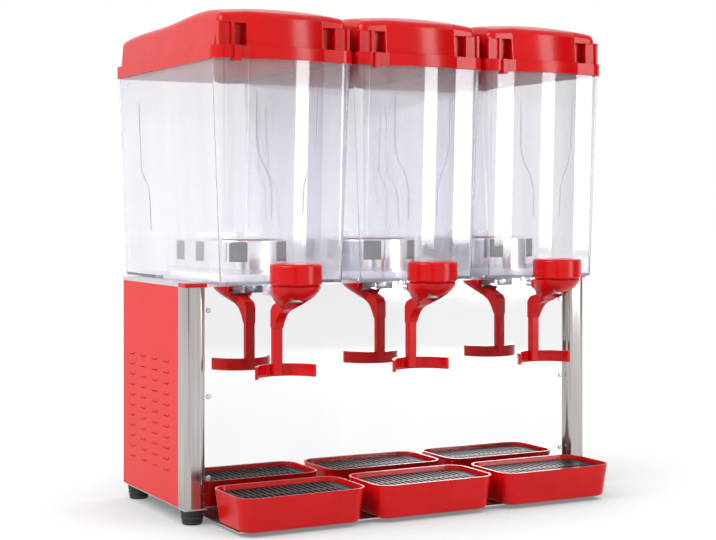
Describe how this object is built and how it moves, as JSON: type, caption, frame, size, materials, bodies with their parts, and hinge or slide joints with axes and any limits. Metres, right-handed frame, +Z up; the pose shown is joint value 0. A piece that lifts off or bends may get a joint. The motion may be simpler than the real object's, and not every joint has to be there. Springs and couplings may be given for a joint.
{
  "type": "refrigerated juice dispenser",
  "caption": "Counter-top cold drink dispenser: clear tanks with red lids on a chilled stainless base, push-lever taps and red drip trays below.",
  "frame": {"origin": "on the table, below the middle of the whole machine", "axes": "+X to the viewer's right, +Y to the back, +Z up"},
  "size_m": [0.6516, 0.459, 0.691],
  "materials": {
    "red_plastic": "glossy moulded red plastic",
    "red_paint": "glossy red powder-coated sheet",
    "clear": "clear moulded polycarbonate",
    "mirror_steel": "mirror-polished stainless sheet",
    "steel": "brushed stainless steel",
    "zinc": "galvanised sheet",
    "black_rubber": "matte black rubber",
    "white_silicone": "white silicone rubber",
    "black_plastic": "matte black plastic",
    "grey_plastic": "matte grey plastic",
    "white_plastic": "white food-grade plastic",
    "copper": "bare copper tube",
    "black_paint": "black painted steel",
    "fins": "bare aluminium fins"
  },
  "bodies": {
    "cabinet": {"base_pan": "zinc", "feet": "black_rubber", "post_left": "steel", "post_right": "steel", "corner_caps": "red_plastic", "front_panel": "mirror_steel", "side_panel_left": "red_paint", "side_panel_right": "red_paint", "rear_panel": "steel", "deck": "steel", "tray_shelf": "steel", "panel_screws": "steel", "cooling_drum_1": "steel", "cooling_drum_2": "steel", "cooling_drum_3": "steel", "drum_seals": "white_silicone", "evaporators": "copper", "stirrer_motors": "black_paint", "compressor": "black_paint", "compressor_mounts": "black_rubber", "condenser": "fins", "fan_motor": "black_paint", "refrigerant_pipe": "copper", "switch_frames": "black_plastic", "thermostat": "grey_plastic", "power_gland": "black_plastic"},
    "fan_wheel": {"fan": "grey_plastic"},
    "rocker_1": {"rocker_switch_1": "black_plastic"},
    "rocker_2": {"rocker_switch_2": "black_plastic"},
    "knob": {"thermostat_knob": "black_plastic"},
    "rotor_1": {"magnet_rotor_1": "zinc"},
    "stirrer_1": {"stirrer_1": "white_plastic"},
    "tank_1": {"tank_1": "clear", "tap_pins_1": "steel", "tap_spring_1": "steel"},
    "lever_1": {"tap_lever_1": "red_plastic"},
    "plunger_1": {"tap_plunger_1": "white_plastic"},
    "lid_1": {"lid_1": "red_plastic"},
    "tray_1": {"drip_tray_1": "red_plastic"},
    "grille_1": {"tray_grille_1": "steel"},
    "rotor_2": {"magnet_rotor_2": "zinc"},
    "stirrer_2": {"stirrer_2": "white_plastic"},
    "tank_2": {"tank_2": "clear", "tap_pins_2": "steel", "tap_spring_2": "steel"},
    "lever_2": {"tap_lever_2": "red_plastic"},
    "plunger_2": {"tap_plunger_2": "white_plastic"},
    "lid_2": {"lid_2": "red_plastic"},
    "tray_2": {"drip_tray_2": "red_plastic"},
    "grille_2": {"tray_grille_2": "steel"},
    "rotor_3": {"magnet_rotor_3": "zinc"},
    "stirrer_3": {"stirrer_3": "white_plastic"},
    "tank_3": {"tank_3": "clear", "tap_pins_3": "steel", "tap_spring_3": "steel"},
    "lever_3": {"tap_lever_3": "red_plastic"},
    "plunger_3": {"tap_plunger_3": "white_plastic"},
    "lid_3": {"lid_3": "red_plastic"},
    "tray_3": {"drip_tray_3": "red_plastic"},
    "grille_3": {"tray_grille_3": "steel"}
  },
  "joints": [
    {"name": "fan_spin", "type": "hinge", "parent": "cabinet", "child": "fan_wheel", "pos_m": [-0.232, 0.0325, 0.16], "axis": [1, 0, 0], "continuous": true},
    {"name": "rocker_tilt_1", "type": "hinge", "parent": "cabinet", "child": "rocker_1", "pos_m": [0.21, 0.1375, 0.25], "axis": [1, 0, 0], "range_deg": [-5, 5]},
    {"name": "rocker_tilt_2", "type": "hinge", "parent": "cabinet", "child": "rocker_2", "pos_m": [0.255, 0.1375, 0.25], "axis": [1, 0, 0], "range_deg": [-5, 5]},
    {"name": "thermostat_turn", "type": "hinge", "parent": "cabinet", "child": "knob", "pos_m": [0.11, 0.1415, 0.25], "axis": [0, 1, 0], "range_deg": [0, 270]},
    {"name": "rotor_spin_1", "type": "hinge", "parent": "cabinet", "child": "rotor_1", "pos_m": [-0.207, 0.024, 0.34], "axis": [0, 0, 1], "continuous": true},
    {"name": "stirrer_spin_1", "type": "hinge", "parent": "cabinet", "child": "stirrer_1", "pos_m": [-0.207, 0.024, 0.384], "axis": [0, 0, 1], "continuous": true},
    {"name": "tank_lift_1", "type": "slide", "parent": "cabinet", "child": "tank_1", "axis": [0, 0, 1], "range_m": [0, 0.1]},
    {"name": "lid_lift_1", "type": "slide", "parent": "tank_1", "child": "lid_1", "axis": [0, 0, 1], "range_m": [0, 0.12]},
    {"name": "lever_push_1", "type": "hinge", "parent": "tank_1", "child": "lever_1", "pos_m": [-0.207, -0.1665, 0.312], "axis": [1, 0, 0], "range_deg": [0, 15], "stiffness_Nm_per_rad": 0.9, "springref_deg": -20.05},
    {"name": "plunger_slide_1", "type": "slide", "parent": "tank_1", "child": "plunger_1", "axis": [0, 0, 1], "range_m": [-0.0062, 0], "deforming": ["tap_spring_1"]},
    {"name": "tray_lift_1", "type": "slide", "parent": "cabinet", "child": "tray_1", "axis": [0, 0, 1], "range_m": [0, 0.06]},
    {"name": "grille_lift_1", "type": "slide", "parent": "tray_1", "child": "grille_1", "axis": [0, 0, 1], "range_m": [0, 0.05]},
    {"name": "rotor_spin_2", "type": "hinge", "parent": "cabinet", "child": "rotor_2", "pos_m": [0, 0.024, 0.34], "axis": [0, 0, 1], "continuous": true},
    {"name": "stirrer_spin_2", "type": "hinge", "parent": "cabinet", "child": "stirrer_2", "pos_m": [0, 0.024, 0.384], "axis": [0, 0, 1], "continuous": true},
    {"name": "tank_lift_2", "type": "slide", "parent": "cabinet", "child": "tank_2", "axis": [0, 0, 1], "range_m": [0, 0.1]},
    {"name": "lid_lift_2", "type": "slide", "parent": "tank_2", "child": "lid_2", "axis": [0, 0, 1], "range_m": [0, 0.12]},
    {"name": "lever_push_2", "type": "hinge", "parent": "tank_2", "child": "lever_2", "pos_m": [0, -0.1665, 0.312], "axis": [1, 0, 0], "range_deg": [0, 15], "stiffness_Nm_per_rad": 0.9, "springref_deg": -20.05},
    {"name": "plunger_slide_2", "type": "slide", "parent": "tank_2", "child": "plunger_2", "axis": [0, 0, 1], "range_m": [-0.0062, 0], "deforming": ["tap_spring_2"]},
    {"name": "tray_lift_2", "type": "slide", "parent": "cabinet", "child": "tray_2", "axis": [0, 0, 1], "range_m": [0, 0.06]},
    {"name": "grille_lift_2", "type": "slide", "parent": "tray_2", "child": "grille_2", "axis": [0, 0, 1], "range_m": [0, 0.05]},
    {"name": "rotor_spin_3", "type": "hinge", "parent": "cabinet", "child": "rotor_3", "pos_m": [0.207, 0.024, 0.34], "axis": [0, 0, 1], "continuous": true},
    {"name": "stirrer_spin_3", "type": "hinge", "parent": "cabinet", "child": "stirrer_3", "pos_m": [0.207, 0.024, 0.384], "axis": [0, 0, 1], "continuous": true},
    {"name": "tank_lift_3", "type": "slide", "parent": "cabinet", "child": "tank_3", "axis": [0, 0, 1], "range_m": [0, 0.1]},
    {"name": "lid_lift_3", "type": "slide", "parent": "tank_3", "child": "lid_3", "axis": [0, 0, 1], "range_m": [0, 0.12]},
    {"name": "lever_push_3", "type": "hinge", "parent": "tank_3", "child": "lever_3", "pos_m": [0.207, -0.1665, 0.312], "axis": [1, 0, 0], "range_deg": [0, 15], "stiffness_Nm_per_rad": 0.9, "springref_deg": -20.05},
    {"name": "plunger_slide_3", "type": "slide", "parent": "tank_3", "child": "plunger_3", "axis": [0, 0, 1], "range_m": [-0.0062, 0], "deforming": ["tap_spring_3"]},
    {"name": "tray_lift_3", "type": "slide", "parent": "cabinet", "child": "tray_3", "axis": [0, 0, 1], "range_m": [0, 0.06]},
    {"name": "grille_lift_3", "type": "slide", "parent": "tray_3", "child": "grille_3", "axis": [0, 0, 1], "range_m": [0, 0.05]}
  ],
  "couplings": [
    {"joint": "stirrer_spin_1", "follows": "rotor_spin_1", "ratio": 1},
    {"joint": "plunger_slide_1", "follows": "lever_push_1", "m_per_rad": -0.02368},
    {"joint": "stirrer_spin_2", "follows": "rotor_spin_2", "ratio": 1},
    {"joint": "plunger_slide_2", "follows": "lever_push_2", "m_per_rad": -0.02368},
    {"joint": "stirrer_spin_3", "follows": "rotor_spin_3", "ratio": 1},
    {"joint": "plunger_slide_3", "follows": "lever_push_3", "m_per_rad": -0.02368}
  ]
}
